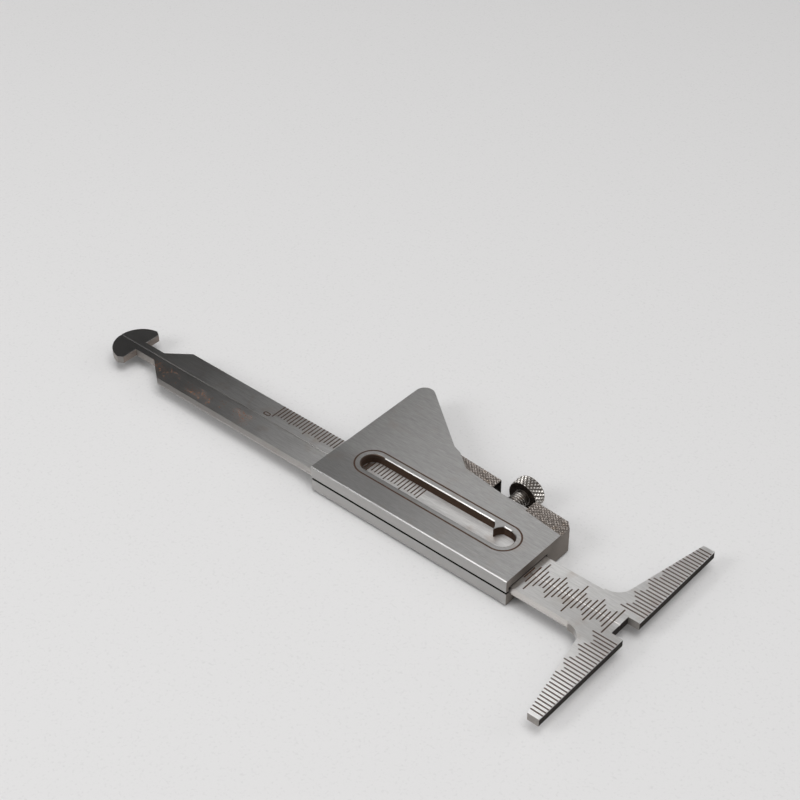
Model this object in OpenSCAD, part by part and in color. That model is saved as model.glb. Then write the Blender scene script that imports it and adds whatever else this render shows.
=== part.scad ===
// Twin-bar weld gauge. Two mirror bars slide side by side through a slit body.
// A thumb screw in the body's rear wall locks them.
// Millimetres. +X runs along the bars to the cross arms, +Y to the thumb screw, +Z up.
// The origin is the middle of the body's bottom face, on the line where the two bars meet.

/* [Bars] */
// Thickness of each bar
bar_t = 2; // [1.6:0.1:2.4]
// Width of one bar's flat top
bar_half = 6.2; // [5.8:0.1:6.6]
// How far the vee edge stands out from the flat top
vee = 0.5; // [0.3:0.05:0.6]
// Distance from the hook's face to the body's left end, as the gauge lies
hook_open = 66.2; // [40:0.1:80]
// Distance from the body's right end to the outer edge of the cross arms, as the gauge lies
stem_out = 27; // [23:0.1:40]

// Width of the broken edges at the split, the hook and the cross arms
bar_break = 0.12; // [0.05:0.01:0.2]

/* [Hook] */
// Radius of the hook's round back
hook_r = 6.8; // [5:0.1:9]
// How far the hook's face lies past the centre of its round back
hook_past = 0.6; // [0:0.1:1.5]
// How far the hook's tip is cut back along its face
tip_face = 0.8; // [0.3:0.1:1.5]
// How far the hook's tip is cut back along its round back
tip_back = 1.4; // [0.5:0.1:2]
// Width of one bar's neck
neck_half = 1.75; // [1.2:0.05:2.5]
// Length of the neck from the hook's face to the shoulder
neck_len = 6.7; // [5:0.1:10]
// Angle of the shoulder to the bar
shoulder_angle = 37.5; // [30:0.5:60]

/* [Cross arms] */
// Reach of an arm from the line where the bars meet
arm_reach = 31.3; // [24:0.1:36]
// Width of an arm at its end
arm_tip = 2.9; // [2:0.1:4]
// Angle at which an arm widens towards the bar
arm_slope = 11.3; // [6:0.1:14]
// Radius of the fillet between arm and bar
arm_fillet = 4; // [2:0.1:5]
// Length of plain edge between the bar's vee and the fillet
vee_stop = 0.35; // [0.35:0.05:2]
// Half the width of the notch between the arms
notch_half = 3; // [2:0.1:4]
// Depth of the notch between the arms
notch_depth = 2.9; // [2:0.1:4]

/* [Body] */
// Length of the body along the bars
body_len = 57; // [54:0.5:64]
// Thickness of the body
body_t = 7; // [6.4:0.1:8]
// Distance from the line where the bars meet to the body's front face
body_front = 7.6; // [7.4:0.05:9]
// Height of the slit in the front wall
slit = 0.6; // [0.3:0.05:0.7]
// Width of the broken edges along the body's front
edge_break = 0.2; // [0.1:0.05:0.5]

/* [Nose] */
// Reach of the nose from the line where the bars meet
nose_reach = 32; // [28:0.1:36]
// Radius of the nose's tip
nose_r = 2.6; // [1.5:0.1:4]
// Angle of the nose's sloping side to the bars
nose_slope = 37; // [34:0.5:40]
// Length of the relieved slope along the bars, from the body's left end
nose_len = 20.4; // [16:0.1:21]
// Depth of the relief along the slope
nose_relief = 0.77; // [0.4:0.05:1]
// Length of the relief's run-out
relief_run = 2.35; // [1:0.05:3]

/* [Grip] */
// Rear edge of the grip at the body's right end, before its corner is cut
grip_y = 16.3; // [15:0.1:18]
// Taper of the grip's rear edge
grip_taper = 3.3; // [1:0.1:4]
// Front line of the lowered grip strip at the body's right end
strip_y = 11.3; // [10:0.1:12]
// Taper of the strip's front line
strip_taper = 7.3; // [4:0.1:8]
// How far the grip strip lies below the body's top
strip_drop = 0.5; // [0.1:0.05:0.6]
// Size of the cut corner at the right end
corner_cut = 1.6; // [0.5:0.1:3]
// Width of the gap in the grip for the thumb screw
gap_w = 10.3; // [9:0.1:12]
// Middle of the gap from the body's right end
gap_in = 16.2; // [14:0.1:18]
// Floor of the gap from the line where the bars meet
gap_floor = 14; // [12.5:0.1:14.5]

/* [Window] */
// Length of the window
window_len = 43.6; // [38:0.1:46]
// Width of the window
window_w = 5.76; // [5:0.02:6]
// Middle of the window from the line where the bars meet
window_y = 2.67; // [2.4:0.01:3]
// Middle of the window from the body's left end
window_in = 28.8; // [28:0.05:29.5]
// Width of the broken edge round the window
window_rim = 0.2; // [0.1:0.05:0.5]
// Distance of the index pointer from the body's left end, and of the scale's zero from the hook's face
index_in = 44.6; // [42:0.1:46]
// Width of the pointer at its root
pointer_w = 2.7; // [2:0.1:4]
// Length of the pointer
pointer_h = 2.2; // [1.5:0.1:2.8]
// How far the pointer's sides bow inwards
pointer_bow = 0.25; // [0.1:0.05:0.3]

// Distance of the engraved line round the window from the window's edge
ring_out = 1.42; // [0.8:0.01:1.6]
// Width of that line
ring_w = 0.38; // [0.2:0.01:0.5]

/* [Scales] */
// Length of one division of the scales
division = 1; // [0.8:0.1:1.2]
// Width of a mark
mark_w = 0.36; // [0.2:0.01:0.5]
// Depth of the engraving
mark_depth = 0.08; // [0.03:0.01:0.1]
// Divisions of the main scale on the rear bar
main_count = 45; // [20:1:60]
// Length of the main scale's tens
main_ten = 4.7; // [4:0.1:5.5]
// Length of the main scale's fives
main_five = 4.2; // [3.5:0.1:5]
// Length of the main scale's other marks
main_one = 3.75; // [2.5:0.05:4.5]
// Height of the zero that stands before the main scale
zero_len = 2.1; // [1.6:0.1:2.6]
// Width of the zero
zero_w = 1.2; // [0.9:0.1:1.4]
// Width of the zero's line
zero_line = 0.32; // [0.2:0.01:0.4]
// Distance of the zero before the first mark
zero_before = 1.6; // [1.4:0.1:2.5]
// Distance of the zero from the line where the bars meet
zero_y = 1.5; // [1:0.1:3]
// Divisions of the double scale along the split
stem_count = 28; // [10:1:30]
// Distance of the double scale's zero from the outer edge of the cross arms
stem_in = 4.6; // [3.5:0.1:6]
// Length of the double scale's zero mark
stem_first = 4.3; // [3:0.1:4.5]
// Length of the double scale's tens
stem_ten = 4.9; // [4:0.1:5.5]
// Length of the double scale's fives
stem_five = 4; // [3:0.1:5]
// Length of the marks next to those
stem_next = 2.9; // [2:0.1:4]
// Length of the double scale's other marks
stem_other = 1.95; // [1:0.05:3]
// First division of the scale on an arm, counted from the line where the bars meet
arm_first = 5; // [4:1:8]
// Last division of the scale on an arm
arm_last = 30; // [15:1:31]
// Length of an arm scale's fives
arm_five = 6.3; // [5:0.1:7]
// Length of the marks next to those on an arm
arm_next = 5.5; // [4:0.1:6]
// Length of an arm scale's other marks
arm_other = 4.6; // [3:0.1:5.5]

/* [Thumb screw] */
// Diameter of the thread
thread_d = 4; // [3.6:0.1:4.4]
// Diameter of the plain neck behind the head
screw_neck_d = 3.1; // [2.4:0.1:3.4]
// Diameter of the head
head_d = 8; // [7:0.1:9]
// Thickness of the head
head_t = 3.3; // [2.5:0.1:5]
// Width of the head's broken edges
head_break = 0.2; // [0.1:0.05:0.6]
// Distance from the gap's floor to the head
head_off = 4.8; // [4:0.1:8]
// Length of thread that shows outside the gap's floor
thread_out = 3.8; // [1:0.1:4]

/* [Clamp pad] */
// Diameter of the pad
pad_d = 3.4; // [2.6:0.1:3.5]
// Length of the pad
pad_len = 2.4; // [1.5:0.1:4]
// Depth of the vee in the pad's nose
pad_vee = 0.35; // [0.2:0.05:0.4]

/* [Clearances] */
// Running clearance between bar and body, on each side
slide_gap = 0.05; // [0.02:0.01:0.1]
// Clearance between the two bars
split_gap = 0.06; // [0.02:0.01:0.1]
// Clearance between the screw and its bore, all round
thread_gap = 0.05; // [0.02:0.01:0.1]
// Clearance at each end of the clamp pad
pad_gap = 0.04; // [0.02:0.01:0.1]

/* [Hidden] */
$fn = 96;
// How far a cutting shape runs past what it cuts
over = 1;
// How far the fillet's arc runs into both edges that it joins, so that it crosses them
fillet_bite = 0.01;

left_x = -body_len / 2;
right_x = body_len / 2;
mid_z = body_t / 2;
bar_low = mid_z - bar_t / 2;
bar_top = mid_z + bar_t / 2;
edge_y = bar_half + vee;

hook_x = left_x - hook_open;
// The hook's tip before its corner is cut, and the way along that cut
hook_tip = sqrt(hook_r ^ 2 - hook_past ^ 2);
tip_way = [-tip_back, tip_face];
shoulder_from = hook_x + neck_len;
shoulder_to = shoulder_from + (edge_y - neck_half) / tan(shoulder_angle);
cross_x = right_x + stem_out;
tip_x = cross_x - arm_tip;
// Where the arm's inner edge would meet the bar's edge, and the fillet that rounds that corner
corner = [tip_x - (arm_reach - edge_y) * tan(arm_slope), edge_y];
fillet_run = arm_fillet * tan((90 - arm_slope) / 2);
fillet_start = [corner[0] - fillet_run, edge_y];
fillet_end = corner + fillet_run * [sin(arm_slope), cos(arm_slope)];
fillet_centre = fillet_start + [0, arm_fillet];

// The nose: along is the way down its slope, out is square to the slope
along = [cos(nose_slope), -sin(nose_slope)];
out = [sin(nose_slope), cos(nose_slope)];
nose_centre = [left_x + nose_r, nose_reach - nose_r];
nose_tangent = nose_centre + nose_r * out;
relief_end = nose_tangent + along * (left_x + nose_len - nose_tangent[0]) / cos(nose_slope);
foot = relief_end + relief_run * along + nose_relief * out;
foot_slope = tan(nose_slope);

gap_x = right_x - gap_in;
head_y = gap_floor + head_off;
pad_face = edge_y + pad_gap;
pad_nose = pad_face - pad_vee;
screw_tip = pad_nose + pad_len + pad_gap;
pointer_x = left_x + index_in;
window_x = left_x + window_in;
window_r = window_w / 2;
window_run = window_len / 2 - window_r;
ring_r = window_r + ring_out;
inner_y = split_gap / 2;
main_zero = hook_x + index_in;
stem_zero = cross_x - stem_in;

steel = [0.73, 0.72, 0.70];
bar_steel = [0.78, 0.77, 0.75];
screw_steel = [0.66, 0.62, 0.57];
brass = [0.80, 0.65, 0.34];

// Rear edge of the grip, and front line of its strip, at a distance along the body
function grip_edge(x) = grip_y + tan(grip_taper) * (right_x - x);
function strip_line(x) = strip_y + tan(strip_taper) * (right_x - x);
// Where the line down the nose through its foot meets a line that has a value at the right end and a taper
function below_foot(y, taper) =
    let (x = (foot[1] + foot_slope * foot[0] - y - tan(taper) * right_x) / (foot_slope - tan(taper)))
    [x, y + tan(taper) * (right_x - x)];
// Radius and centre of the circle that bows by a given amount between two points
// The bow lies on the right of the way from a to b
function bow_radius(a, b, bow) = (norm(b - a) ^ 2 / 4 + bow ^ 2) / (2 * bow);
function bow_centre(a, b, bow) =
    (a + b) / 2 + (bow_radius(a, b, bow) - bow) * [b[1] - a[1], a[0] - b[0]] / norm(b - a);

// Length of a mark that stands a number of divisions from its zero
function graded(i, ten, five, next, other) =
    i % 10 == 0 ? ten : i % 5 == 0 ? five : i % 5 == 1 || i % 5 == 4 ? next : other;

// A profile in Y and Z, carried along X
module along_x(from_x, to_x) {
    translate([from_x, 0, 0]) rotate([90, 0, 90]) linear_extrude(to_x - from_x) children();
}

// A profile in X and Z, carried along Y
module along_y(from_y, to_y) {
    translate([0, to_y, 0]) rotate([90, 0, 0]) linear_extrude(to_y - from_y) children();
}

// A shape at the bar's top, and its mirror image at the bar's underside
module both_faces() {
    children();
    translate([0, 0, 2 * mid_z]) mirror([0, 0, 1]) children();
}

// A slot with round ends, from above
module racetrack(run, r) {
    translate([-run, -r]) square([2 * run, 2 * r]);
    for (side = [-1, 1]) translate([side * run, 0]) circle(r);
}

// A groove of a given width along a racetrack
module racetrack_line(run, r, width) {
    difference() {
        racetrack(run, r + width / 2);
        racetrack(run, r - width / 2);
    }
}

// The section of both bars together, grown by a clearance
module bar_section(gap) {
    polygon([
        [-bar_half - gap, bar_low - gap],
        [bar_half + gap, bar_low - gap],
        [edge_y + gap, mid_z],
        [bar_half + gap, bar_top + gap],
        [-bar_half - gap, bar_top + gap],
        [-edge_y - gap, mid_z]
    ]);
}

// Outline of the body from above
module body_outline() {
    corner_x = right_x - corner_cut;
    gap_right = gap_x + gap_w / 2;
    gap_left = gap_x - gap_w / 2;
    polygon([
        [left_x, -body_front],
        [right_x, -body_front],
        [right_x, grip_edge(right_x) - corner_cut],
        [corner_x, grip_edge(corner_x)],
        [gap_right, grip_edge(gap_right)],
        [gap_right, gap_floor],
        [gap_left, gap_floor],
        [gap_left, grip_edge(gap_left)],
        below_foot(grip_y, grip_taper),
        foot,
        relief_end,
        nose_tangent,
        nose_centre,
        [left_x, nose_centre[1]]
    ]);
    translate(nose_centre) circle(nose_r);
}

// The strip behind the body's plain top, which the fingers hold
module grip_strip() {
    start = below_foot(strip_y, strip_taper);
    far_x = right_x + over;
    far_y = grip_edge(left_x) + over;
    polygon([
        start,
        [far_x, strip_line(far_x)],
        [far_x, far_y],
        [foot[0] - over, far_y],
        foot - over * along
    ]);
}

// A disc that bows into one side of the pointer
module bow(a, b) {
    translate(bow_centre(a, b, pointer_bow)) circle(bow_radius(a, b, pointer_bow));
}

// The index pointer, which stands on the rear edge of the window
module pointer() {
    root_y = window_y + window_r;
    tip = [pointer_x, root_y - pointer_h];
    left_root = [pointer_x - pointer_w / 2, root_y];
    right_root = [pointer_x + pointer_w / 2, root_y];
    difference() {
        polygon([left_root, tip, right_root, right_root + [0, over], left_root + [0, over]]);
        bow(left_root, tip);
        bow(tip, right_root);
    }
}

// The window's straight cut, with the pointer left standing
module window_cut() {
    difference() {
        translate([window_x, window_y]) racetrack(window_run, window_r);
        pointer();
    }
}

// The broken edge round the window
module window_rim_cut() {
    low_z = body_t - window_rim;
    difference() {
        union() {
            along_x(window_x - window_run, window_x + window_run)
                polygon([
                    [window_y - window_r, low_z],
                    [window_y + window_r, low_z],
                    [window_y + window_r + window_rim, body_t],
                    [window_y - window_r - window_rim, body_t]
                ]);
            for (side = [-1, 1])
                translate([window_x + side * window_run, window_y, low_z])
                    cylinder(h = window_rim, r1 = window_r, r2 = window_r + window_rim);
        }
        translate([pointer_x - pointer_w / 2, window_y, low_z - over])
            cube([pointer_w, window_w, window_rim + 2 * over]);
    }
}

// The broken edges along the front of the body, top and bottom
module front_edge_cuts() {
    for (side = [0, 1])
        translate([0, 0, side * body_t]) mirror([0, 0, 1 - side])
            along_x(left_x - over, right_x + over)
                polygon([
                    [-body_front, -edge_break],
                    [-body_front + edge_break, 0],
                    [-body_front - over, over]
                ]);
}

module slide_body() {
    color(steel)
    difference() {
        linear_extrude(body_t) body_outline();
        along_x(left_x - over, right_x + over) bar_section(slide_gap);
        translate([left_x - over, -body_front - over, mid_z - slit / 2])
            cube([body_len + 2 * over, body_front + over - bar_half, slit]);
        translate([0, 0, mid_z]) linear_extrude(body_t) window_cut();
        window_rim_cut();
        translate([window_x, window_y, body_t - mark_depth]) linear_extrude(mark_depth + over)
            racetrack_line(window_run, ring_r, ring_w);
        translate([0, 0, body_t - strip_drop]) linear_extrude(strip_drop + over) grip_strip();
        translate([gap_x, bar_half, mid_z]) rotate([-90, 0, 0])
            cylinder(h = gap_floor - bar_half + over, d = thread_d + 2 * thread_gap);
        front_edge_cuts();
    }
}

// What the cut takes off the hook's tip
module tip_cut() {
    from = [hook_x, hook_tip - tip_face];
    to = from + 2 * tip_way;
    polygon([from, [hook_x + over, from[1]], [hook_x + over, to[1]], to]);
}

// Outline of the rear bar from above
module bar_outline() {
    difference() {
        union() {
            intersection() {
                translate([hook_x - hook_past, 0]) circle(hook_r);
                translate([hook_x - 2 * hook_r, inner_y]) square(2 * hook_r);
            }
            polygon([
                [hook_x - over, inner_y],
                [cross_x, inner_y],
                [cross_x, arm_reach],
                [tip_x, arm_reach],
                corner,
                [shoulder_to, edge_y],
                [shoulder_from, neck_half],
                [hook_x - over, neck_half]
            ]);
            polygon([corner, fillet_end, fillet_centre, fillet_start]);
        }
        tip_cut();
        translate(fillet_centre) circle(arm_fillet + fillet_bite);
        translate([cross_x - notch_depth, -over]) square([notch_depth + over, notch_half + over]);
    }
}

// The bevels above and below that make the bar's long edge a vee
module vee_cuts() {
    for (side = [-1, 1])
        translate([0, 0, mid_z]) mirror([0, 0, (1 - side) / 2])
            along_x(shoulder_from, fillet_start[0] - vee_stop)
                polygon([
                    [bar_half, bar_t / 2],
                    [edge_y, 0],
                    [edge_y + over, 0],
                    [edge_y + over, bar_t / 2 + over],
                    [bar_half, bar_t / 2 + over]
                ]);
}

// The broken edges along the split, across the hook's face and along the outer edge of the arm
module bar_breaks() {
    both_faces() {
        along_x(hook_x - 2 * hook_r, cross_x + over)
            translate([inner_y, bar_top]) polygon([[0, -bar_break], [bar_break, 0], [-over, over]]);
        along_y(neck_half, hook_r)
            translate([hook_x, bar_top]) polygon([[0, -bar_break], [over, over], [-bar_break, 0]]);
        along_y(notch_half, arm_reach + over)
            translate([cross_x, bar_top]) polygon([[0, -bar_break], [over, over], [-bar_break, 0]]);
    }
}

// A mark across the bar's top, from one corner of its outline and of a given size
module mark(corner, size) {
    translate([corner[0], corner[1], bar_top - mark_depth]) cube([size[0], size[1], mark_depth + over]);
}

// The double scale, from the split outwards
module stem_scale() {
    for (i = [0 : stem_count])
        let (length = i == 0 ? stem_first : graded(i, stem_ten, stem_five, stem_next, stem_other))
            mark([stem_zero - i * division - mark_w / 2, -over], [mark_w, over + length]);
}

// The scale on an arm, from its outer edge inwards
module arm_scale() {
    for (i = [arm_first : arm_last])
        let (length = graded(i, arm_five, arm_five, arm_next, arm_other))
            mark([cross_x - length, i * division - mark_w / 2], [length + over, mark_w]);
}

// The main scale, from the rear bar's edge inwards, and the zero before it
module main_scale() {
    for (i = [0 : main_count])
        let (length = graded(i, main_ten, main_five, main_one, main_one))
            mark([main_zero + i * division - mark_w / 2, bar_half - length], [mark_w, length + over]);
    translate([main_zero - zero_before, zero_y, bar_top - mark_depth]) linear_extrude(mark_depth + over)
        racetrack_line((zero_len - zero_w) / 2, (zero_w - zero_line) / 2, zero_line);
}

module bar() {
    color(bar_steel)
    difference() {
        translate([0, 0, bar_low]) linear_extrude(bar_t) bar_outline();
        vee_cuts();
        bar_breaks();
        stem_scale();
        arm_scale();
    }
}

module rear_bar() {
    difference() {
        bar();
        main_scale();
    }
}

module front_bar() {
    mirror([0, 1, 0]) bar();
}

module thumb_screw() {
    head_r = head_d / 2;
    thread_end = gap_floor + thread_out;
    color(screw_steel)
    translate([gap_x, 0, mid_z]) rotate([-90, 0, 0])
        rotate_extrude()
            polygon([
                [0, screw_tip],
                [thread_d / 2 - head_break, screw_tip],
                [thread_d / 2, screw_tip + head_break],
                [thread_d / 2, thread_end],
                [screw_neck_d / 2, thread_end],
                [screw_neck_d / 2, head_y],
                [head_r - head_break, head_y],
                [head_r, head_y + head_break],
                [head_r, head_y + head_t - head_break],
                [head_r - head_break, head_y + head_t],
                [0, head_y + head_t]
            ]);
}

module clamp_pad() {
    color(brass)
    difference() {
        translate([gap_x, pad_nose, mid_z]) rotate([-90, 0, 0]) cylinder(h = pad_len, d = pad_d);
        along_x(gap_x - pad_d, gap_x + pad_d) bar_section(pad_gap);
    }
}

slide_body();
front_bar();
rear_bar();
thumb_screw();
clamp_pad();
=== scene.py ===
"""Looks of a twin-bar weld gauge: ground steel, filled scale marks, a knurled screw and grips."""

import math

import bmesh
import bpy
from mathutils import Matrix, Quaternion, Vector, noise as field


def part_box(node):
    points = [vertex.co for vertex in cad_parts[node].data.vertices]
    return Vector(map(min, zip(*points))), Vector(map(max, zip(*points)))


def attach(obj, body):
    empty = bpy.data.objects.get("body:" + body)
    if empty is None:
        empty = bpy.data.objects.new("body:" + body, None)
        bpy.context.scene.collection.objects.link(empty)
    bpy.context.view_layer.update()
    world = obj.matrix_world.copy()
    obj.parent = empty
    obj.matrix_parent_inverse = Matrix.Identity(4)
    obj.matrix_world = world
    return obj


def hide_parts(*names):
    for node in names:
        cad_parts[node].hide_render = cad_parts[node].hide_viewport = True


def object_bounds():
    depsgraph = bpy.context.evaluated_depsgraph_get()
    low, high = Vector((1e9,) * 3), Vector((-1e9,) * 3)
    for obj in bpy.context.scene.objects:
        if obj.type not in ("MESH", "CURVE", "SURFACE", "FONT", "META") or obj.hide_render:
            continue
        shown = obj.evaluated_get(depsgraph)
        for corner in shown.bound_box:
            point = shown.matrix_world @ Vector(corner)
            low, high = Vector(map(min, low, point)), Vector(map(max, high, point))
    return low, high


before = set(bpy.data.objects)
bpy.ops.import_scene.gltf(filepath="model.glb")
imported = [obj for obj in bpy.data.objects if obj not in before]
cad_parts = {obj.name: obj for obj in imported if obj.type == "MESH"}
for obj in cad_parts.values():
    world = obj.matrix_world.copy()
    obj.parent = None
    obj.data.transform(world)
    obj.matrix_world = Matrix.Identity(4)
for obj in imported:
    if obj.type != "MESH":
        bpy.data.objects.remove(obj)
cad_low, cad_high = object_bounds()

MM = 0.001

# The camera, whose place, aim, roll and lens were fitted to the ends of the scale marks
CAMERA_PLACE = Vector((183.2, -216.4, 266.0)) * MM
CAMERA_AIM = Vector((-31.0, 26.2, 4.5)) * MM
CAMERA_ROLL = math.radians(-0.46)
CAMERA_LENS = 77.47
CAMERA_SENSOR = 36

# Scale marks and the line between the bars: sizes in millimetres, and a direction
MARK_DEPTH = 0.08
STEM_ZERO = 50.9
STEM_SCALE = 28.4
DIVISION = 1.0
SPLIT_HALF = 0.24
SPLIT_DEPTH = 0.25
FILL_BELOW = 0.02
LEVEL_SLACK = 0.004
LEAST_UPWARD = 0.99

# Thumb screw: sizes in millimetres, shares and counts
SCREW_X = 12.3
SCREW_Z = 3.5
THREAD_R = 2.0
THREAD_ROOT_R = 1.6
THREAD_PITCH = 0.7
THREAD_END = 17.8
THREAD_ROWS = 10
CREST_CUT = 1.25
TIP_SHARE = 0.85
SHANK_SIDES = 48
NECK_R = 1.55
HEAD_FROM = 18.8
HEAD_TO = 22.1
HEAD_R = 4.0
HEAD_BREAK = 0.2
HEAD_COLLAR = 0.3
HEAD_DIAMONDS = 26
HEAD_KNURL_STEP = 1.46
HEAD_KNURL_DEPTH = 0.34
HEAD_ROWS = 44
DIAMOND_SIDES = 12
DIAMOND_CUT = 1.3

# Body and grips: sizes in millimetres, angles, shares and counts
GRIP_Y = 16.3
GRIP_TAPER = math.radians(3.3)
STRIP_Y = 11.3
STRIP_TAPER = math.radians(7.3)
STRIP_DROP = 0.5
WINDOW_LOW = (-22.3, -0.3, 4.6)
WINDOW_HIGH = (23.0, 5.65, 6.79)
SLIT_LOW = 3.2
SLIT_HIGH = 3.8
NOSE_FOOT = (-5.76, 18.44)
NOSE_SLOPE = math.radians(37)
NOSE_MARGIN = 0.24
CORNER_CUT = 1.6
GAP_LEFT = 7.15
GAP_RIGHT = 17.45
RING_MIDDLE = (0.3, 2.67)
RING_RUN = 18.92
RING_R = 4.3
GRIP_PITCH = 0.56
GRIP_KNURL_DEPTH = 0.2
GRIP_EDGE = 0.9
GRIP_STEP = 0.07
GRIP_ROWS = 72
GRIP_LIFT = 0.004
LEAST_WIDTH = 0.02
WEAR_LEVEL = 0.45
WEAR_EDGE = 0.5
WEAR_SWING = 0.6
WEAR_SCALE = 1.6

# Colours of the steel where it isn't plainly ground, many of them painted light and shade
SHADED_STRIP = (0.13, 0.127, 0.125)
BODY_FRONT_LIGHT = (0.53, 0.52, 0.51)
SLIT_SHADE = (0.02, 0.018, 0.016)
WINDOW_WALL_SHADE = (0.12, 0.078, 0.056)
RING_BLEED = (0.12, 0.07, 0.045)
WINDOW_END_SHADE = (0.14, 0.1, 0.08)
GAP_SHADE = (0.10, 0.085, 0.075)
BODY_END_BROWN_AND_SHADE = (0.30, 0.27, 0.245)
MOUTH_SHADE = (0.012, 0.010, 0.009)
HOOK_END_DARKER = (0.2, 0.193, 0.19)
FRONT_ARM_PAINTED_LIGHT = (0.95, 0.94, 0.93)
SHADED_STEM = (0.33, 0.32, 0.31)
ARM_END_DARK_REFLECTION = (0.032, 0.026, 0.023)
HOOK_EDGE = (0.34, 0.29, 0.26)
BAR_FRONT_SHADE = (0.41, 0.385, 0.362)
BAR_RIM_HIGHLIGHT = (0.97, 0.96, 0.95)
STAIN_BROWN = (0.42, 0.17, 0.07)
SPLIT_LINE_SHADE = (0.5, 0.48, 0.46)
MARK_BROWN = (0.07, 0.042, 0.03)

BODY_LOW, BODY_HIGH = (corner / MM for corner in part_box("slide_body"))
BODY_TOP = BODY_HIGH.z
BAR_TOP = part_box("rear_bar")[1].z / MM

# Where the tone of the steel and its painted light and shade change, in millimetres
BEYOND = 1.0
SKIN = 0.03
SOFT = 0.02
STRIP_BACK = (0.0, 4.0)
STRIP_LEFT = (-29.0, -13.0)
STRIP_RIGHT = (-6.0, 27.0)
SLIT_BACK = -6.0
SLIT_MARGIN = 0.04
BLEED_EDGE = (0.2, 0.28)
TURN_LOW = (-23.2, -1.2, 6.0)
TURN_HIGH = (-17.5, 6.6, BODY_TOP - 0.01)
GAP_FRONT = 13.9
GAP_MARGIN = 0.1
MOUTH_HALF = 6.8
MOUTH_LOW = 4.0
MOUTH_HIGH = WINDOW_LOW[2] + 0.14
FRONT_HALF = (-0.3, 0.3)
HOOK_DARK = (-96.0, -62.0)
FRONT_DARK = (-92.0, -46.0)
FRONT_ARM = (-22.0, -9.0)
STEM_LOW = (24.0, -9.5, 3.0)
STEM_HIGH = (57.0, 0.6, 6.0)
ARMS_FROM = (50.0, 51.0)
HOOKS_TO = (-91.0, -90.0)
RIM_LOW = (-90.0, -6.9, BAR_TOP - 0.1)
RIM_HIGH = (44.0, -6.5, BAR_TOP + BEYOND)
STAINS_LOW = (-90.0, -6.4, 3.0)
STAINS_HIGH = (-52.0, -0.6, 6.0)
SPLIT_LOW = (-90.0, -SPLIT_HALF, BAR_TOP - SPLIT_DEPTH)
SPLIT_HIGH = (60.0, SPLIT_HALF, BAR_TOP - 0.005)
CROSSING_LOW = (STEM_ZERO - STEM_SCALE, -SPLIT_HALF, BAR_TOP - SPLIT_DEPTH)
CROSSING_HIGH = (STEM_ZERO + 0.3, SPLIT_HALF, BAR_TOP + BEYOND)

# Stage: lengths in metres, directions from -1 to 1, and brightness
FLOOR_HALF = 6.0
FLOOR_FADE = (0.35, 1.5)
FLOOR_GLOW = 0.48
SURROUND_FADE = (-0.4, 0.1)
SURROUND_DARK = 0.02
SURROUND_PALE = 0.35


# Shader helpers

def new_material(name):
    """An empty node material, its nodes, its links and its shader."""
    material = bpy.data.materials.new(name)
    material.use_nodes = True
    nodes = material.node_tree.nodes
    return material, nodes, material.node_tree.links, nodes["Principled BSDF"]


def new_group(name, inputs, outputs):
    """An empty node group with float inputs and float outputs, and its two ends."""
    group = bpy.data.node_groups.new(name, "ShaderNodeTree")
    for label, value in inputs.items():
        socket = group.interface.new_socket(label, in_out="INPUT", socket_type="NodeSocketFloat")
        socket.default_value = value
    for label in outputs:
        group.interface.new_socket(label, in_out="OUTPUT", socket_type="NodeSocketFloat")
    return group, group.nodes.new("NodeGroupInput"), group.nodes.new("NodeGroupOutput")


def place_group(nodes, group, **values):
    """A group node with its inputs set."""
    node = nodes.new("ShaderNodeGroup")
    node.node_tree = group
    for label, value in values.items():
        node.inputs[label].default_value = value
    return node


def feed(tree, socket, value):
    """Sets a number on a socket, or links another socket to it."""
    if isinstance(value, (int, float)):
        socket.default_value = value
    else:
        tree.links.new(value, socket)


def math_node(tree, operation, *values):
    """The result of a math node whose inputs are sockets or numbers."""
    node = tree.nodes.new("ShaderNodeMath")
    node.operation = operation
    for socket, value in zip(node.inputs, values):
        feed(tree, socket, value)
    return node.outputs[0]


def times(tree, first, second):
    """The product of two sockets or numbers."""
    return math_node(tree, "MULTIPLY", first, second)


def off_from(tree, axis, place):
    """How far an axis lies from a place, either way."""
    return math_node(tree, "ABSOLUTE", math_node(tree, "SUBTRACT", axis, place))


def length_of(tree, first, second):
    """The length across two sides at right angles."""
    square = math_node(tree, "MULTIPLY_ADD", first, first, times(tree, second, second))
    return math_node(tree, "POWER", square, 0.5)


def remap(tree, value, from_low, from_high, to_low, to_high):
    """A value carried from one range to another, held at its ends."""
    node = tree.nodes.new("ShaderNodeMapRange")
    for label, number in (
        ("From Min", from_low), ("From Max", from_high), ("To Min", to_low), ("To Max", to_high),
    ):
        node.inputs[label].default_value = number
    tree.links.new(value, node.inputs["Value"])
    return node.outputs["Result"]


def mix_colour(tree, factor, first, second):
    """Two colours, each a socket or an RGB triple, mixed by a factor socket."""
    node = tree.nodes.new("ShaderNodeMix")
    node.data_type = "RGBA"
    tree.links.new(factor, node.inputs["Factor"])
    for socket, value in ((node.inputs[6], first), (node.inputs[7], second)):
        if isinstance(value, tuple):
            socket.default_value = (*value, 1)
        else:
            tree.links.new(value, socket)
    return node.outputs[2]


def split_axes(tree, output):
    """The three parts of one of the texture coordinates, as sockets."""
    coordinates = tree.nodes.new("ShaderNodeTexCoord")
    split = tree.nodes.new("ShaderNodeSeparateXYZ")
    tree.links.new(coordinates.outputs[output], split.inputs[0])
    return split.outputs


def object_axes(tree):
    """The three object coordinates, in metres, as sockets."""
    return split_axes(tree, "Object")


def facing(tree, axis):
    """How far the surface faces along an axis of object space, from -1 to 1."""
    return split_axes(tree, "Normal")[axis]


def faces(tree, axis, sign):
    """1 on surfaces that face along an axis of object space, or against it by the sign."""
    return remap(tree, times(tree, facing(tree, axis), sign), 0.8, 0.95, 0.0, 1.0)


def fade(tree, axis, ends, first, last):
    """A value that runs from first to last between two places on an axis, in millimetres."""
    return remap(tree, axis, ends[0] * MM, ends[1] * MM, first, last)


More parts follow.
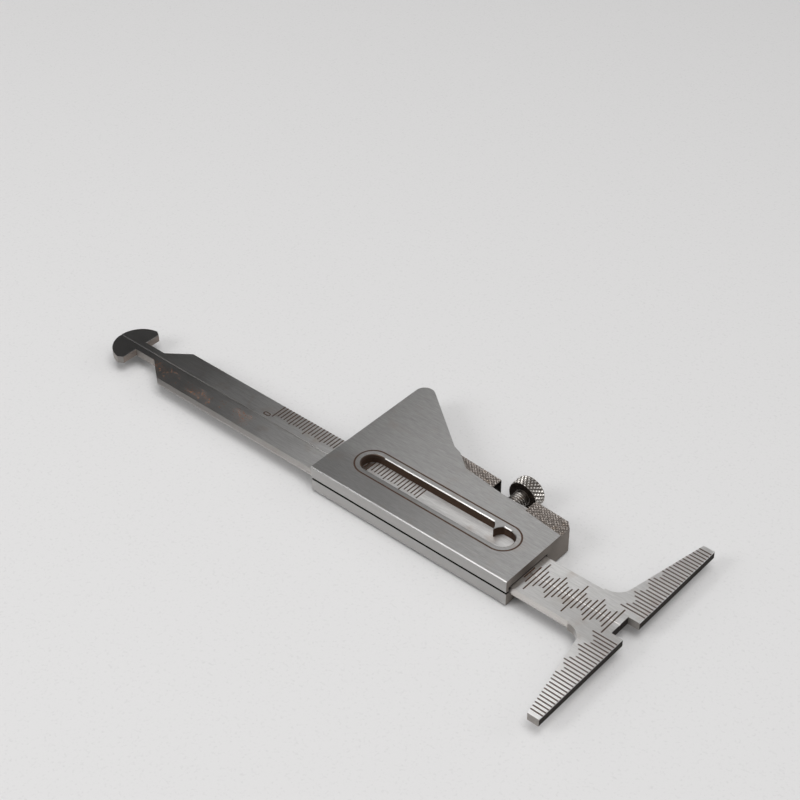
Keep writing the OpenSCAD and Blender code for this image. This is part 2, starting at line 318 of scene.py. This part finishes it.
def box_mask(tree, axes, low, high, soft=SOFT):
    """1 inside a box in object space, in millimetres, falling to 0 over a soft border."""
    mask = None
    for axis, start, end in zip(axes, low, high):
        half = (end - start) / 2
        off = off_from(tree, axis, (start + end) / 2 * MM)
        side = fade(tree, off, (half - soft, half), 1.0, 0.0)
        mask = side if mask is None else times(tree, mask, side)
    return mask


def noise(tree, vector, scale, detail):
    """A noise texture's value, about 0.5 in the middle."""
    node = tree.nodes.new("ShaderNodeTexNoise")
    feed(tree, node.inputs["Scale"], scale)
    feed(tree, node.inputs["Detail"], detail)
    tree.links.new(vector, node.inputs["Vector"])
    return node.outputs["Fac"]


# Shared finishes

def make_brush_lines():
    """Fine grinding lines along X: a fine grain and broader streaks, both from 0 to 1."""
    group, inside, outside = new_group(
        "brush_lines", {"Lines": 7000.0, "Length": 480.0}, ("Grain", "Streak"),
    )
    x, y, z = object_axes(group)
    for label, across, along in (("Grain", 1.0, 1.0), ("Streak", 0.3, 0.45)):
        join = group.nodes.new("ShaderNodeCombineXYZ")
        lines = times(group, inside.outputs["Lines"], across)
        length = times(group, inside.outputs["Length"], along)
        for axis, rate, socket in ((x, length, 0), (y, lines, 1), (z, lines, 2)):
            group.links.new(times(group, axis, rate), join.inputs[socket])
        value = noise(group, join.outputs[0], 1.0, 2.0)
        group.links.new(remap(group, value, 0.3, 0.7, 0.0, 1.0), outside.inputs[label])
    return group


def make_handling():
    """Cloudy smudges and small stains left by hands, both from 0 to 1."""
    group, inside, outside = new_group(
        "handling", {"Cloud size": 55.0, "Stain size": 210.0}, ("Cloud", "Stain"),
    )
    coordinates = group.nodes.new("ShaderNodeTexCoord")
    for label, size, detail, low, high in (
        ("Cloud", "Cloud size", 3.0, 0.35, 0.68), ("Stain", "Stain size", 5.0, 0.56, 0.74),
    ):
        value = noise(group, coordinates.outputs["Object"], inside.outputs[size], detail)
        group.links.new(remap(group, value, low, high, 0.0, 1.0), outside.inputs[label])
    return group


def make_edge_highlight():
    """A painted highlight along broken edges, which face half upwards, from 0 to 1."""
    group, inside, outside = new_group("edge_highlight", {"Upward": 0.7}, ("Highlight",))
    off_edge = off_from(group, facing(group, 2), inside.outputs["Upward"])
    group.links.new(remap(group, off_edge, 0.12, 0.2, 1.0, 0.0), outside.inputs["Highlight"])
    return group


BRUSH_LINES = make_brush_lines()
HANDLING = make_handling()
EDGE_HIGHLIGHT = make_edge_highlight()


def tone(mask, colour, roughness=0.0, dullness=0.0):
    """A finish or painted light and shade on a stretch of steel: where it lies, its colour, its least
    roughness and its dullness.
    """
    return mask, colour, roughness, dullness


def ground_steel(name, light, dark, stain, rough_low, rough_high, bump_height, tones):
    """Steel ground along X: streaked colour, smudged gloss, lines in relief, a painted highlight on broken
    edges, and tones of its own, painted light and shade among them.
    """
    material, nodes, links, shader = new_material(name)
    tree = material.node_tree
    lines = place_group(nodes, BRUSH_LINES)
    hands = place_group(nodes, HANDLING)
    broad = times(tree, lines.outputs["Streak"], 0.35)
    streaks = math_node(tree, "MULTIPLY_ADD", lines.outputs["Grain"], 0.65, broad)
    ground = mix_colour(tree, streaks, dark, light)
    colour = mix_colour(tree, times(tree, hands.outputs["Stain"], 0.35), ground, stain)
    smudges = times(tree, hands.outputs["Cloud"], 0.5)
    gloss = math_node(tree, "ADD", smudges, times(tree, lines.outputs["Streak"], 0.5))
    roughness = remap(tree, gloss, 0.0, 1.0, rough_low, rough_high)
    # Broken edges get a painted highlight and are smoother
    edge_glint = place_group(nodes, EDGE_HIGHLIGHT).outputs["Highlight"]
    colour = mix_colour(tree, edge_glint, colour, tuple(min(0.9, 1.25 * c) for c in light))
    roughness = math_node(tree, "SUBTRACT", roughness, times(tree, edge_glint, 0.12))
    metallic = 1.0
    for mask, tone_colour, least_roughness, dullness in tones(tree):
        colour = mix_colour(tree, mask, colour, tone_colour)
        if least_roughness:
            roughness = math_node(tree, "MAXIMUM", roughness, times(tree, mask, least_roughness))
        if dullness:
            shine = remap(tree, mask, 0.0, 1.0, 1.0, 1.0 - dullness)
            metallic = math_node(tree, "MINIMUM", metallic, shine)
    links.new(colour, shader.inputs["Base Color"])
    links.new(roughness, shader.inputs["Roughness"])
    feed(tree, shader.inputs["Metallic"], metallic)
    relief = nodes.new("ShaderNodeBump")
    relief.inputs["Strength"].default_value = 1.0
    relief.inputs["Distance"].default_value = bump_height * MM
    links.new(streaks, relief.inputs["Height"])
    links.new(relief.outputs["Normal"], shader.inputs["Normal"])
    # Highlights spread across the grinding lines
    across = nodes.new("ShaderNodeVectorTransform")
    across.vector_type = "VECTOR"
    across.convert_from = "OBJECT"
    across.convert_to = "WORLD"
    across.inputs[0].default_value = (0.0, 1.0, 0.0)
    links.new(across.outputs[0], shader.inputs["Tangent"])
    shader.inputs["Anisotropic"].default_value = 1.0
    return material


def ring_bleed(tree, axes):
    """Where the fill of the line round the window has bled on to the steel beside it."""
    past = math_node(tree, "SUBTRACT", off_from(tree, axes[0], RING_MIDDLE[0] * MM), RING_RUN * MM)
    aside = math_node(tree, "SUBTRACT", axes[1], RING_MIDDLE[1] * MM)
    radius = length_of(tree, math_node(tree, "MAXIMUM", past, 0.0), aside)
    return fade(tree, off_from(tree, radius, RING_R * MM), BLEED_EDGE, 0.5, 0.0)


def shaded_strip(tree, axes):
    """The darker strip of the cover in front of the window, which fades towards both ends."""
    depth = fade(tree, axes[1], STRIP_BACK, 0.5, 0.0)
    depth = times(tree, depth, fade(tree, axes[0], STRIP_RIGHT, 1.0, 0.15))
    return times(tree, depth, fade(tree, axes[0], STRIP_LEFT, 0.55, 1.0))


def body_tones(tree):
    """The body's tones: the shaded strip, painted light on the front, painted shade in the slit, the
    window, its end, the gap and the slot's mouth, bled fill, and a browner right end with painted shade.
    """
    axes = object_axes(tree)
    margin = Vector((BEYOND, BEYOND, BEYOND))
    low = BODY_LOW - margin
    high = BODY_HIGH + margin
    end_x = BODY_HIGH.x - SKIN
    slit_low = (low.x, BODY_LOW.y + SKIN, SLIT_LOW - SLIT_MARGIN)
    slit_high = (high.x, SLIT_BACK, SLIT_HIGH + SLIT_MARGIN)
    gap_low = (GAP_LEFT - GAP_MARGIN, GAP_FRONT, low.z)
    gap_high = (GAP_RIGHT + GAP_MARGIN, high.y, BODY_TOP - STRIP_DROP - SOFT)
    end_low = (end_x, low.y, low.z)
    end_high = (high.x, high.y, BODY_TOP - SOFT)
    mouth_low = (end_x, -MOUTH_HALF, MOUTH_LOW)
    mouth_high = (high.x, MOUTH_HALF, MOUTH_HIGH)
    return (
        tone(shaded_strip(tree, axes), SHADED_STRIP),
        # Painted light: the body's front faces are lighter
        tone(faces(tree, 1, -1), BODY_FRONT_LIGHT),
        # Painted shade in the slit
        tone(box_mask(tree, axes, slit_low, slit_high), SLIT_SHADE, 0.7),
        # Painted shade on the window's walls
        tone(box_mask(tree, axes, WINDOW_LOW, WINDOW_HIGH, soft=0.04), WINDOW_WALL_SHADE, 0.6),
        tone(ring_bleed(tree, axes), RING_BLEED),
        # Painted shade at the window's left end
        tone(box_mask(tree, axes, TURN_LOW, TURN_HIGH, soft=0.005), WINDOW_END_SHADE, 0.5),
        # Painted shade in the gap between the grips, round the screw
        tone(box_mask(tree, axes, gap_low, gap_high), GAP_SHADE, 0.6),
        # The right end face: rougher and browner, with painted shade
        tone(box_mask(tree, axes, end_low, end_high), BODY_END_BROWN_AND_SHADE, 0.5),
        # Painted shade along the slot's mouth in the right end, just above the bars
        tone(box_mask(tree, axes, mouth_low, mouth_high), MOUTH_SHADE, 0.7),
    )


def darker_towards_hooks(tree, axes):
    """The darker steel towards the hooks, which reaches further along the front bar."""
    on_front = fade(tree, axes[1], FRONT_HALF, 1.0, 0.0)
    both = fade(tree, axes[0], HOOK_DARK, 0.88, 0.0)
    further = fade(tree, axes[0], FRONT_DARK, 0.95, 0.0)
    return math_node(tree, "MAXIMUM", both, times(tree, on_front, further))


def brown_stains(tree, axes):
    """Clusters of brown specks on the left of the front bar."""
    hands = place_group(tree.nodes, HANDLING, **{"Stain size": 2300.0, "Cloud size": 300.0})
    handled = box_mask(tree, axes, STAINS_LOW, STAINS_HIGH, soft=1.6)
    clusters = times(tree, handled, hands.outputs["Cloud"])
    specks = remap(tree, hands.outputs["Stain"], 0.0, 0.6, 0.12, 1.0)
    return remap(tree, times(tree, clusters, specks), 0.05, 0.5, 0.0, 0.95)


def split_marks(tree, axes):
    """Where the marks of the stem's double scale cross the line between the bars."""
    along = math_node(tree, "SUBTRACT", axes[0], STEM_ZERO * MM)
    off_mark = math_node(tree, "PINGPONG", times(tree, along, 1 / (DIVISION * MM)), 0.5)
    on_mark = remap(tree, off_mark, 0.17, 0.2, 1.0, 0.0)
    return times(tree, on_mark, box_mask(tree, axes, CROSSING_LOW, CROSSING_HIGH))


def bar_tones(tree):
    """The bars' tones: darker steel towards the hooks, painted light on the front arm and painted shade on
    the stem, painted dark reflection on the arms' cut edges, the hooks' cut edges, painted shade on the
    front side, a painted highlight on its rim, stains, and a painted grey split line with the marks across
    it.
    """
    axes = object_axes(tree)
    right = faces(tree, 0, 1)
    arm_end_reflection = times(tree, right, fade(tree, axes[0], ARMS_FROM, 0.0, 1.0))
    hook_edges = times(tree, right, fade(tree, axes[0], HOOKS_TO, 1.0, 0.0))
    stem = times(tree, box_mask(tree, axes, STEM_LOW, STEM_HIGH, soft=2.4), 0.6)
    return (
        tone(darker_towards_hooks(tree, axes), HOOK_END_DARKER),
        # Painted light on the front arm, brighter towards its tip
        tone(fade(tree, axes[1], FRONT_ARM, 1.0, 0.0), FRONT_ARM_PAINTED_LIGHT),
        tone(stem, SHADED_STEM),
        # Painted dark reflection on the cut faces at the cross arms that face along X
        tone(arm_end_reflection, ARM_END_DARK_REFLECTION, 0.5),
        tone(hook_edges, HOOK_EDGE, 0.45),
        # Painted shade on the bars' front sides
        tone(faces(tree, 1, -1), BAR_FRONT_SHADE, 0.45),
        # A painted highlight along the front bar's top front edge
        tone(box_mask(tree, axes, RIM_LOW, RIM_HIGH, soft=0.04), BAR_RIM_HIGHLIGHT),
        tone(brown_stains(tree, axes), STAIN_BROWN, dullness=0.6),
        # Painted grey along the split between the bars: shade in the gap, and a dimmer highlight on its
        # broken edges
        tone(box_mask(tree, axes, SPLIT_LOW, SPLIT_HIGH, soft=0.002), SPLIT_LINE_SHADE),
        tone(split_marks(tree, axes), MARK_BROWN, 0.62, 1.0),
    )


def etch_fill():
    """The dark brown that fills the marks, a little uneven."""
    material, nodes, links, shader = new_material("etch_fill")
    tree = material.node_tree
    hands = place_group(nodes, HANDLING, **{"Stain size": 900.0})
    links.new(
        mix_colour(tree, hands.outputs["Stain"], (0.055, 0.025, 0.013), (0.12, 0.062, 0.038)),
        shader.inputs["Base Color"],
    )
    shader.inputs["Roughness"].default_value = 0.62
    return material


def knurl_steel(name, height_of, valley, peak):
    """Knurled steel: dark valleys and bright peaks, by a height from 0 to 1."""
    material, nodes, links, shader = new_material(name)
    tree = material.node_tree
    height = height_of(tree)
    hands = place_group(nodes, HANDLING, **{"Stain size": 700.0})
    worn = mix_colour(tree, height, valley, peak)
    stained = times(tree, hands.outputs["Stain"], 0.5)
    links.new(mix_colour(tree, stained, worn, (0.26, 0.19, 0.13)), shader.inputs["Base Color"])
    links.new(remap(tree, height, 0.0, 1.0, 0.5, 0.26), shader.inputs["Roughness"])
    shader.inputs["Metallic"].default_value = 1.0
    return material


def strip_height(tree):
    """How high a point of the grip's knurl lies, from its valleys to its peaks, broken up by grit."""
    low = BODY_TOP - STRIP_DROP
    height = fade(tree, object_axes(tree)[2], (low, low + GRIP_KNURL_DEPTH), 0.0, 1.0)
    coordinates = tree.nodes.new("ShaderNodeTexCoord")
    grit = remap(tree, noise(tree, coordinates.outputs["Object"], 2600.0, 3.0), 0.36, 0.64, 0.25, 1.25)
    return times(tree, height, grit)


def screw_height_and_shade(tree):
    """How far out a point of the screw lies: the head's knurl has the whole range. The head's flat faces
    below the knurl get the dark valley colour as a painted dark reflection, and the shank stays in the
    darker part of the range as painted shade.
    """
    x, _, z = object_axes(tree)
    across = math_node(tree, "SUBTRACT", x, SCREW_X * MM)
    up = math_node(tree, "SUBTRACT", z, SCREW_Z * MM)
    radius = length_of(tree, across, up)
    knurl = fade(tree, radius, (HEAD_R - HEAD_KNURL_DEPTH, HEAD_R), 0.0, 1.0)
    shank = fade(tree, radius, (THREAD_R + 0.1, THREAD_R + 0.15), 1.0, 0.0)
    thread = fade(tree, radius, (THREAD_ROOT_R, THREAD_R), 0.1, 0.6)
    return math_node(tree, "MAXIMUM", knurl, times(tree, shank, thread))


def turned_brass():
    """Plain turned brass, faintly lined."""
    material, nodes, links, shader = new_material("turned_brass")
    tree = material.node_tree
    lines = place_group(nodes, BRUSH_LINES)
    links.new(
        mix_colour(tree, lines.outputs["Streak"], (0.62, 0.42, 0.17), (0.76, 0.55, 0.25)),
        shader.inputs["Base Color"],
    )
    links.new(remap(tree, lines.outputs["Grain"], 0.0, 1.0, 0.25, 0.4), shader.inputs["Roughness"])
    shader.inputs["Metallic"].default_value = 1.0
    return material


BODY_STEEL = ground_steel(
    "body_steel", light=(0.46, 0.453, 0.446), dark=(0.31, 0.304, 0.298), stain=(0.38, 0.33, 0.29),
    rough_low=0.36, rough_high=0.46, bump_height=0.006, tones=body_tones,
)
BAR_STEEL = ground_steel(
    "bar_steel", light=(0.74, 0.73, 0.72), dark=(0.54, 0.53, 0.52), stain=(0.42, 0.32, 0.25),
    rough_low=0.36, rough_high=0.46, bump_height=0.005, tones=bar_tones,
)
ETCH_FILL = etch_fill()
GRIP_STEEL = knurl_steel("grip_steel", strip_height, (0.22, 0.19, 0.17), (0.46, 0.437, 0.418))
SCREW_STEEL = knurl_steel("screw_steel", screw_height_and_shade, (0.06, 0.047, 0.04), (0.78, 0.75, 0.71))
PAD_BRASS = turned_brass()


# Mesh helpers

def new_piece(name, mesh_builder, material, body):
    """A mesh piece, in metres from a builder that works in millimetres, that rides on a body."""
    build = bmesh.new()
    mesh_builder(build)
    bmesh.ops.scale(build, vec=(MM, MM, MM), verts=build.verts)
    mesh = bpy.data.meshes.new(name)
    build.to_mesh(mesh)
    build.free()
    mesh.materials.append(material)
    piece = bpy.data.objects.new(name, mesh)
    bpy.context.scene.collection.objects.link(piece)
    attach(piece, body)
    return piece


def dress(node, material):
    """A solid's own object with a better material."""
    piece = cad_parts[node]
    piece.data.materials.clear()
    piece.data.materials.append(material)


# Scale marks

def fill_marks(node, top):
    """Dark fill in every groove that was cut to the marks' depth in a solid's flat top."""
    floor = top - MARK_DEPTH
    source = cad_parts[node].data

    def build_fill(build):
        made = {}
        for face in source.polygons:
            points = [source.vertices[i].co / MM for i in face.vertices]
            if face.normal.z < LEAST_UPWARD or any(abs(p.z - floor) > LEVEL_SLACK for p in points):
                continue
            corners = []
            for p in points:
                key = (round(p.x, 3), round(p.y, 3))
                if key not in made:
                    made[key] = build.verts.new((p.x, p.y, top - FILL_BELOW))
                corners.append(made[key])
            if len(set(corners)) == len(corners):
                build.faces.new(corners)

    return new_piece(node + "_marks", build_fill, ETCH_FILL, node)


# Thumb screw

def lathe(build, stations, around):
    """A closed body of revolution along Y, with a radius for each station and angle."""
    rings = []
    for y, radius in stations:
        ring = []
        for i in range(around):
            angle = 2 * math.pi * i / around
            r = radius(angle) if callable(radius) else radius
            place = (SCREW_X + r * math.sin(angle), y, SCREW_Z + r * math.cos(angle))
            ring.append(build.verts.new(place))
        rings.append(ring)
    for low, high in zip(rings, rings[1:]):
        for i in range(around):
            j = (i + 1) % around
            build.faces.new((low[i], low[j], high[j], high[i]))
    build.faces.new(rings[0][::-1])
    build.faces.new(rings[-1])


def saw(value):
    """A triangle wave of period 1: 0 at whole numbers, 1 half way."""
    return 1 - abs(2 * (value % 1.0) - 1)


def diamond(u, v):
    """Height of a diamond knurl, from 0 in its valleys to 1 on its blunt peaks."""
    return min(1.0, DIAMOND_CUT * min(saw(u), saw(v)))


def build_shank(build):
    """The thread and the plain neck."""
    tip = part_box("thumb_screw")[0].y / MM
    step = THREAD_PITCH / THREAD_ROWS
    rows = int((THREAD_END - tip) / step)
    height = THREAD_R - THREAD_ROOT_R

    def thread_radius(y):
        run_in = min(1.0, (y - tip) / HEAD_BREAK + 0.1)

        def radius(angle):
            crest = min(1.0, CREST_CUT * saw(y / THREAD_PITCH - angle / (2 * math.pi)))
            return THREAD_ROOT_R * TIP_SHARE + run_in * (THREAD_ROOT_R * (1 - TIP_SHARE) + height * crest)

        return radius

    stations = [(tip + i * step, thread_radius(tip + i * step)) for i in range(rows + 1)]
    stations += [(THREAD_END, NECK_R), (HEAD_FROM + HEAD_BREAK, NECK_R)]
    lathe(build, stations, SHANK_SIDES)


def build_head(build):
    """The head, with a diamond knurl between its broken edges."""
    inset = HEAD_BREAK * 0.4
    from_y = HEAD_FROM + inset
    to_y = HEAD_TO - inset

    def knurl_radius(y):
        end = min(y - HEAD_FROM, HEAD_TO - y)
        lid = HEAD_R - HEAD_BREAK + min(end, HEAD_BREAK)

        def radius(angle):
            turn = HEAD_DIAMONDS * angle / (2 * math.pi)
            rise = (y - HEAD_FROM) / HEAD_KNURL_STEP
            cut = HEAD_R - HEAD_KNURL_DEPTH * (1 - diamond(turn + rise, turn - rise))
            return min(lid, cut)

        return radius

    stations = [(HEAD_FROM, NECK_R + HEAD_COLLAR), (HEAD_FROM, HEAD_R - HEAD_BREAK)]
    for i in range(HEAD_ROWS + 1):
        y = from_y + (to_y - from_y) * i / HEAD_ROWS
        stations.append((y, knurl_radius(y)))
    stations += [(HEAD_TO, HEAD_R - HEAD_BREAK), (HEAD_TO, HEAD_R / 2)]
    lathe(build, stations, HEAD_DIAMONDS * DIAMOND_SIDES)


def build_screw(build):
    """The whole thumb screw."""
    build_shank(build)
    build_head(build)


# Knurled grips

def strip_front(x):
    """Front line of the grip: the strip's own taper, or the nose's slope where that lies further back."""
    taper = STRIP_Y + math.tan(STRIP_TAPER) * (BODY_HIGH.x - x)
    nose = NOSE_FOOT[1] - math.tan(NOSE_SLOPE) * (x - NOSE_FOOT[0])
    return max(taper, nose)


def strip_rear(x):
    """Rear edge of the grip, with its cut corner."""
    edge = GRIP_Y + math.tan(GRIP_TAPER) * (BODY_HIGH.x - x)
    corner = GRIP_Y - CORNER_CUT + (1 + math.tan(GRIP_TAPER)) * (BODY_HIGH.x - x)
    return min(edge, corner)


def knurl_strip(from_x, to_x):
    """A builder for a strip of diamond knurl between two places along the body."""
    floor = BODY_TOP - STRIP_DROP
    columns = int((to_x - from_x) / GRIP_STEP)
    side = GRIP_PITCH * math.sqrt(2)

    def build_strip(build):
        grid = []
        for i in range(columns + 1):
            x = from_x + (to_x - from_x) * i / columns
            front = strip_front(x)
            rear = max(strip_rear(x), front + LEAST_WIDTH)
            column = []
            for j in range(GRIP_ROWS + 1):
                y = front + (rear - front) * j / GRIP_ROWS
                by_edge = max(0.0, 1 - (rear - y) / GRIP_EDGE)
                swing = WEAR_SWING * field.noise(Vector((x, y, 0)) * WEAR_SCALE)
                worn = min(1.0, WEAR_LEVEL + WEAR_EDGE * by_edge + swing)
                height = GRIP_KNURL_DEPTH * worn * diamond((x + y) / side, (x - y) / side)
                column.append(build.verts.new((x, y, floor + GRIP_LIFT + height)))
            grid.append(column)
        for a, b in zip(grid, grid[1:]):
            for j in range(GRIP_ROWS):
                build.faces.new((a[j], b[j], b[j + 1], a[j + 1]))
        rim = [column[0] for column in grid] + grid[-1][1:]
        rim += [column[-1] for column in reversed(grid[:-1])] + grid[0][-2:0:-1]
        foot = [build.verts.new((v.co.x, v.co.y, floor)) for v in rim]
        for i, vert in enumerate(rim):
            j = (i + 1) % len(rim)
            build.faces.new((vert, foot[i], foot[j], rim[j]))
        build.faces.new(foot[::-1])
        bmesh.ops.recalc_face_normals(build, faces=build.faces)

    return build_strip


dress("slide_body", BODY_STEEL)
dress("front_bar", BAR_STEEL)
dress("rear_bar", BAR_STEEL)
dress("clamp_pad", PAD_BRASS)

fill_marks("front_bar", BAR_TOP)
fill_marks("rear_bar", BAR_TOP)
fill_marks("slide_body", BODY_TOP)

screw = new_piece("knurled_screw", build_screw, SCREW_STEEL, "thumb_screw")
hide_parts("thumb_screw")

nose_end = NOSE_FOOT[0] + NOSE_MARGIN
new_piece("left_grip", knurl_strip(nose_end, GAP_LEFT), GRIP_STEEL, "slide_body")
new_piece("right_grip", knurl_strip(GAP_RIGHT, BODY_HIGH.x), GRIP_STEEL, "slide_body")


# Stage

def pale_floor():
    """A wide pale floor at the lowest point, whose far part stays pale to the camera and in the steel."""
    mesh = bpy.data.meshes.new("floor")
    corners = [(-1, -1), (1, -1), (1, 1), (-1, 1)]
    mesh.from_pydata([(x * FLOOR_HALF, y * FLOOR_HALF, cad_low.z) for x, y in corners], [], [(0, 1, 2, 3)])
    floor = bpy.data.objects.new("floor", mesh)
    bpy.context.scene.collection.objects.link(floor)
    material, nodes, links, shader = new_material("pale_floor")
    tree = material.node_tree
    hands = place_group(nodes, HANDLING, **{"Stain size": 1500.0})
    links.new(
        mix_colour(tree, hands.outputs["Stain"], (0.77, 0.765, 0.765), (0.71, 0.705, 0.705)),
        shader.inputs["Base Color"],
    )
    path = nodes.new("ShaderNodeLightPath")
    seen = math_node(tree, "MAXIMUM", path.outputs["Is Camera Ray"], path.outputs["Is Glossy Ray"])
    coordinates = nodes.new("ShaderNodeTexCoord")
    away = nodes.new("ShaderNodeVectorMath")
    away.operation = "LENGTH"
    links.new(coordinates.outputs["Object"], away.inputs[0])
    far = remap(tree, away.outputs["Value"], *FLOOR_FADE, 0.0, FLOOR_GLOW)
    links.new(times(tree, seen, far), shader.inputs["Emission Strength"])
    shader.inputs["Emission Color"].default_value = (1.0, 0.995, 0.99, 1)
    shader.inputs["Roughness"].default_value = 0.9
    shader.inputs["Specular IOR Level"].default_value = 0.1
    mesh.materials.append(material)


def soft_box(name, place, aim, width, height, radiance, turn=0):
    """A rectangular lamp of a given brightness, in millimetres, turned about its own axis by degrees."""
    lamp = bpy.data.lights.new(name, "AREA")
    lamp.shape = "RECTANGLE"
    lamp.size = width * MM
    lamp.size_y = height * MM
    lamp.energy = radiance * math.pi * lamp.size * lamp.size_y
    box = bpy.data.objects.new(name, lamp)
    box.location = Vector(place) * MM
    box.rotation_mode = "QUATERNION"
    level = (Vector(aim) - Vector(place)).to_track_quat("-Z", "Y")
    box.rotation_quaternion = level @ Quaternion((0, 0, 1), math.radians(turn))
    box.visible_camera = False
    bpy.context.scene.collection.objects.link(box)


def studio_world():
    """A surround that is dark towards the hooks and pale towards the cross arms."""
    world = bpy.data.worlds.new("surround")
    world.use_nodes = True
    tree = world.node_tree
    background = tree.nodes["Background"]
    background.inputs["Color"].default_value = (1.0, 0.99, 0.98, 1)
    sideways = split_axes(tree, "Generated")[0]
    strength = remap(tree, sideways, *SURROUND_FADE, SURROUND_DARK, SURROUND_PALE)
    tree.links.new(strength, background.inputs["Strength"])
    bpy.context.scene.world = world


def make_camera():
    """The camera of the main view."""
    data = bpy.data.cameras.new("camera")
    data.lens = CAMERA_LENS
    data.sensor_width = CAMERA_SENSOR
    data.clip_start = 0.01
    data.clip_end = 20
    camera = bpy.data.objects.new("camera", data)
    camera.location = CAMERA_PLACE
    camera.rotation_mode = "QUATERNION"
    level = (CAMERA_AIM - CAMERA_PLACE).to_track_quat("-Z", "Y")
    camera.rotation_quaternion = level @ Quaternion((0, 0, 1), CAMERA_ROLL)
    bpy.context.scene.collection.objects.link(camera)
    bpy.context.scene.camera = camera


pale_floor()
studio_world()
soft_box("overhead", (190, -60, 800), (100, 0, 0), width=560, height=640, radiance=3.1)
soft_box("roof_card", (-408, 200, 800), (-408, 200, 0), width=268, height=1000, radiance=1.36, turn=10)
soft_box("front_window", (-312, -662, 560), (0, 0, 0), width=420, height=420, radiance=4.0)
soft_box("low_card", (-660, -760, 270), (-20, 0, 0), width=640, height=340, radiance=0.5)
soft_box("end_card", (-820, -380, 428), (-60, 0, 0), width=500, height=480, radiance=0.6)
soft_box("rear_card", (-890, 200, 430), (-60, 0, 0), width=640, height=480, radiance=0.45)
soft_box("side_card", (597, 501, 450), (0, 0, 0), width=300, height=300, radiance=1.6)
make_camera()
bpy.context.scene.view_settings.view_transform = "Standard"
